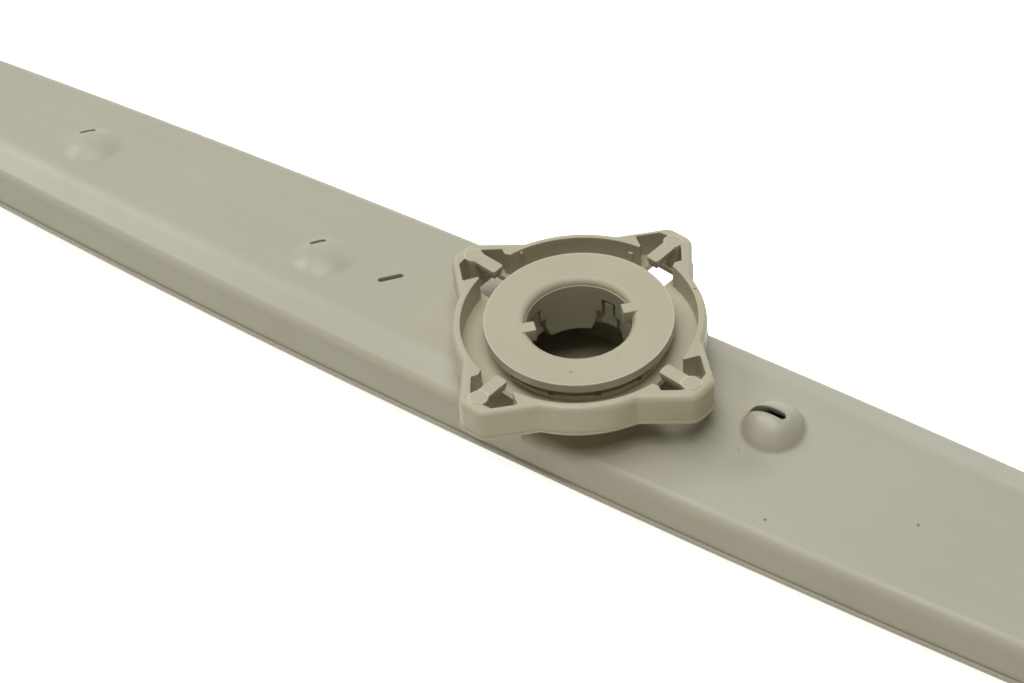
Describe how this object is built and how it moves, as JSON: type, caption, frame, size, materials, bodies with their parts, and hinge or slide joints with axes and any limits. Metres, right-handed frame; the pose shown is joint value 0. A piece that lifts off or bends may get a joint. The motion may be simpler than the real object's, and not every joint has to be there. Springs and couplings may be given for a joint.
{
  "type": "dishwasher spray arm",
  "caption": "Hollow double-ended spray arm with slitted nozzle domes and a flanged hub bush, turning in a lobed mounting ring with radial catches.",
  "frame": {"origin": "on the turning axis, on the plane of the arm's flat underside", "axes": "+X along the arm, +Z along the turning axis, out of the hub's bore, +Y across the arm"},
  "size_m": [0.4612, 0.075, 0.0302],
  "materials": {
    "arm_plastic": "satin moulded polypropylene, warm light grey",
    "lower_plastic": "satin moulded polypropylene, warm light grey",
    "bush_plastic": "satin moulded acetal, warm light grey",
    "ring_plastic": "satin moulded acetal, warm light grey",
    "washer_plastic": "satin moulded acetal, warm light grey"
  },
  "bodies": {
    "arm": {"upper_shell": "arm_plastic", "lower_shell": "lower_plastic", "hub_bush": "bush_plastic", "thrust_washer": "washer_plastic"},
    "ring": {"mounting_ring": "ring_plastic"}
  },
  "joints": [
    {"name": "arm_spin", "type": "hinge", "parent": "arm", "child": "ring", "pos_m": [0, 0, 0.0227], "axis": [0, 0, 1], "continuous": true}
  ]
}
